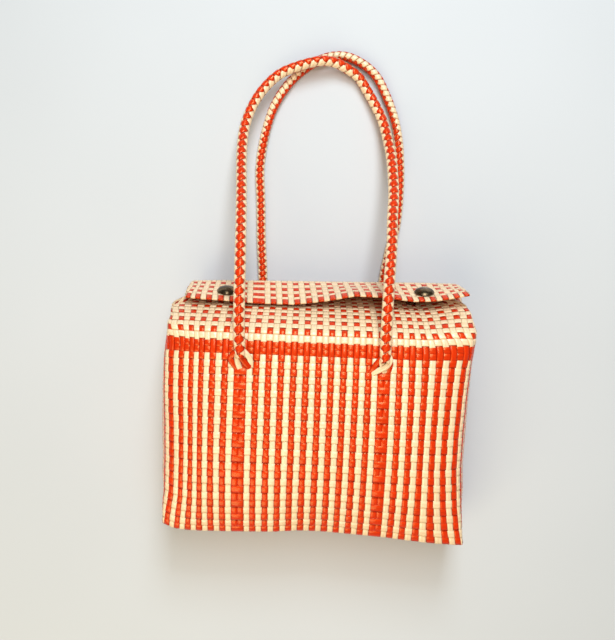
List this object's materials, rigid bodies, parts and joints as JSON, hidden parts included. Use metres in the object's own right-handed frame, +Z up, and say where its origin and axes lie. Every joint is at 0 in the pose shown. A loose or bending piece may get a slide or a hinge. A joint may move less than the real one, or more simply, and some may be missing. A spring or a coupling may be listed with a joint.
{
  "type": "woven tote bag",
  "caption": "Lying tote bag woven from flat plastic strips, striped below and checked above, its mouth folded shut under a snapped flap, with braided loop handles.",
  "frame": {"origin": "middle of the flat part of the back panel, where the bag rests on the floor", "axes": "+Y from the base to the mouth and handles, +Z up from the floor to the front panel, +X to the right of the front panel"},
  "size_m": [0.2864, 0.478, 0.1101],
  "materials": {
    "woven_strips": "orange and cream flat plastic strips in plain weave",
    "braid": "orange and cream plastic strips in a round braid",
    "snap_metal": "dark bronze plating"
  },
  "bodies": {
    "root": {"woven_body": "woven_strips", "handle_front": "braid", "handle_back": "braid", "snap_cap_left": "snap_metal", "snap_cap_right": "snap_metal", "snap_stud_left": "snap_metal", "snap_stud_right": "snap_metal"}
  },
  "joints": []
}
